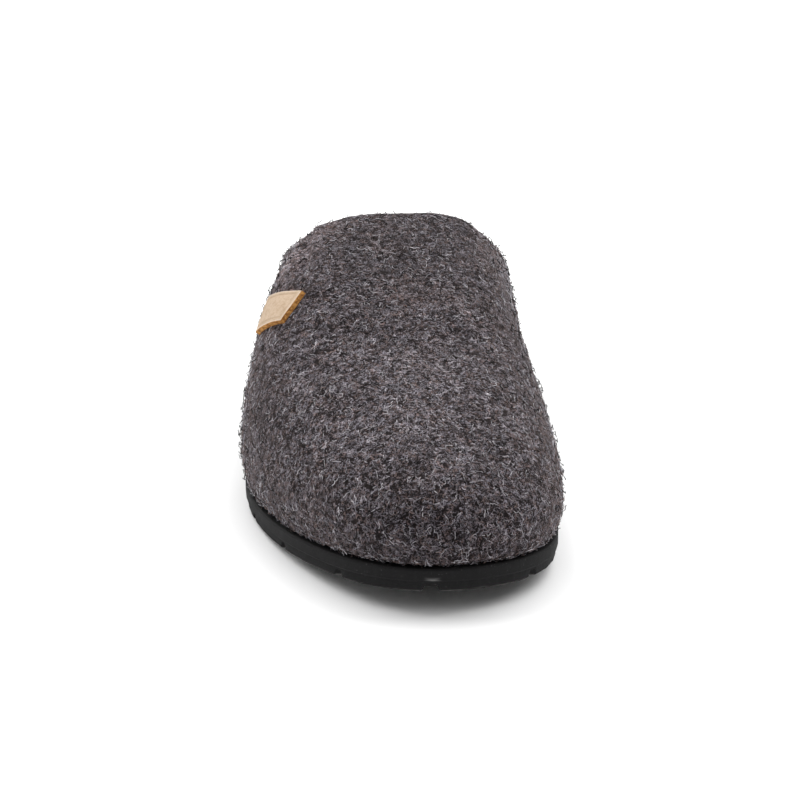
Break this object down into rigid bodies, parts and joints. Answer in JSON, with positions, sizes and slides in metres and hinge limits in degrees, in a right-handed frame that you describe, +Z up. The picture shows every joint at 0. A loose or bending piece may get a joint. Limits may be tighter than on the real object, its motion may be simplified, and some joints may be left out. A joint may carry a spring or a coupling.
{
  "type": "felt clog slipper",
  "caption": "Right-foot clog slipper: a one-piece thick felt upper with a low closed heel, a contoured footbed and a lugged foam sole, with a bare leather label on its outer side.",
  "frame": {"origin": "middle of the shoe's outline on the floor that it stands on", "axes": "+Z up, -Y to the toe, +Y to the heel, +X to the inner (big toe) side"},
  "size_m": [0.1066, 0.272, 0.0861],
  "materials": {
    "felt": "matte boiled wool felt, dark grey-brown melange",
    "sole_foam": "matte black foam",
    "footbed": "matte felt cover",
    "tan_leather": "pale tan, smooth, with a raw cut edge"
  },
  "bodies": {
    "root": {"upper": "felt", "outsole": "sole_foam", "insole": "footbed", "label": "tan_leather"}
  },
  "joints": []
}
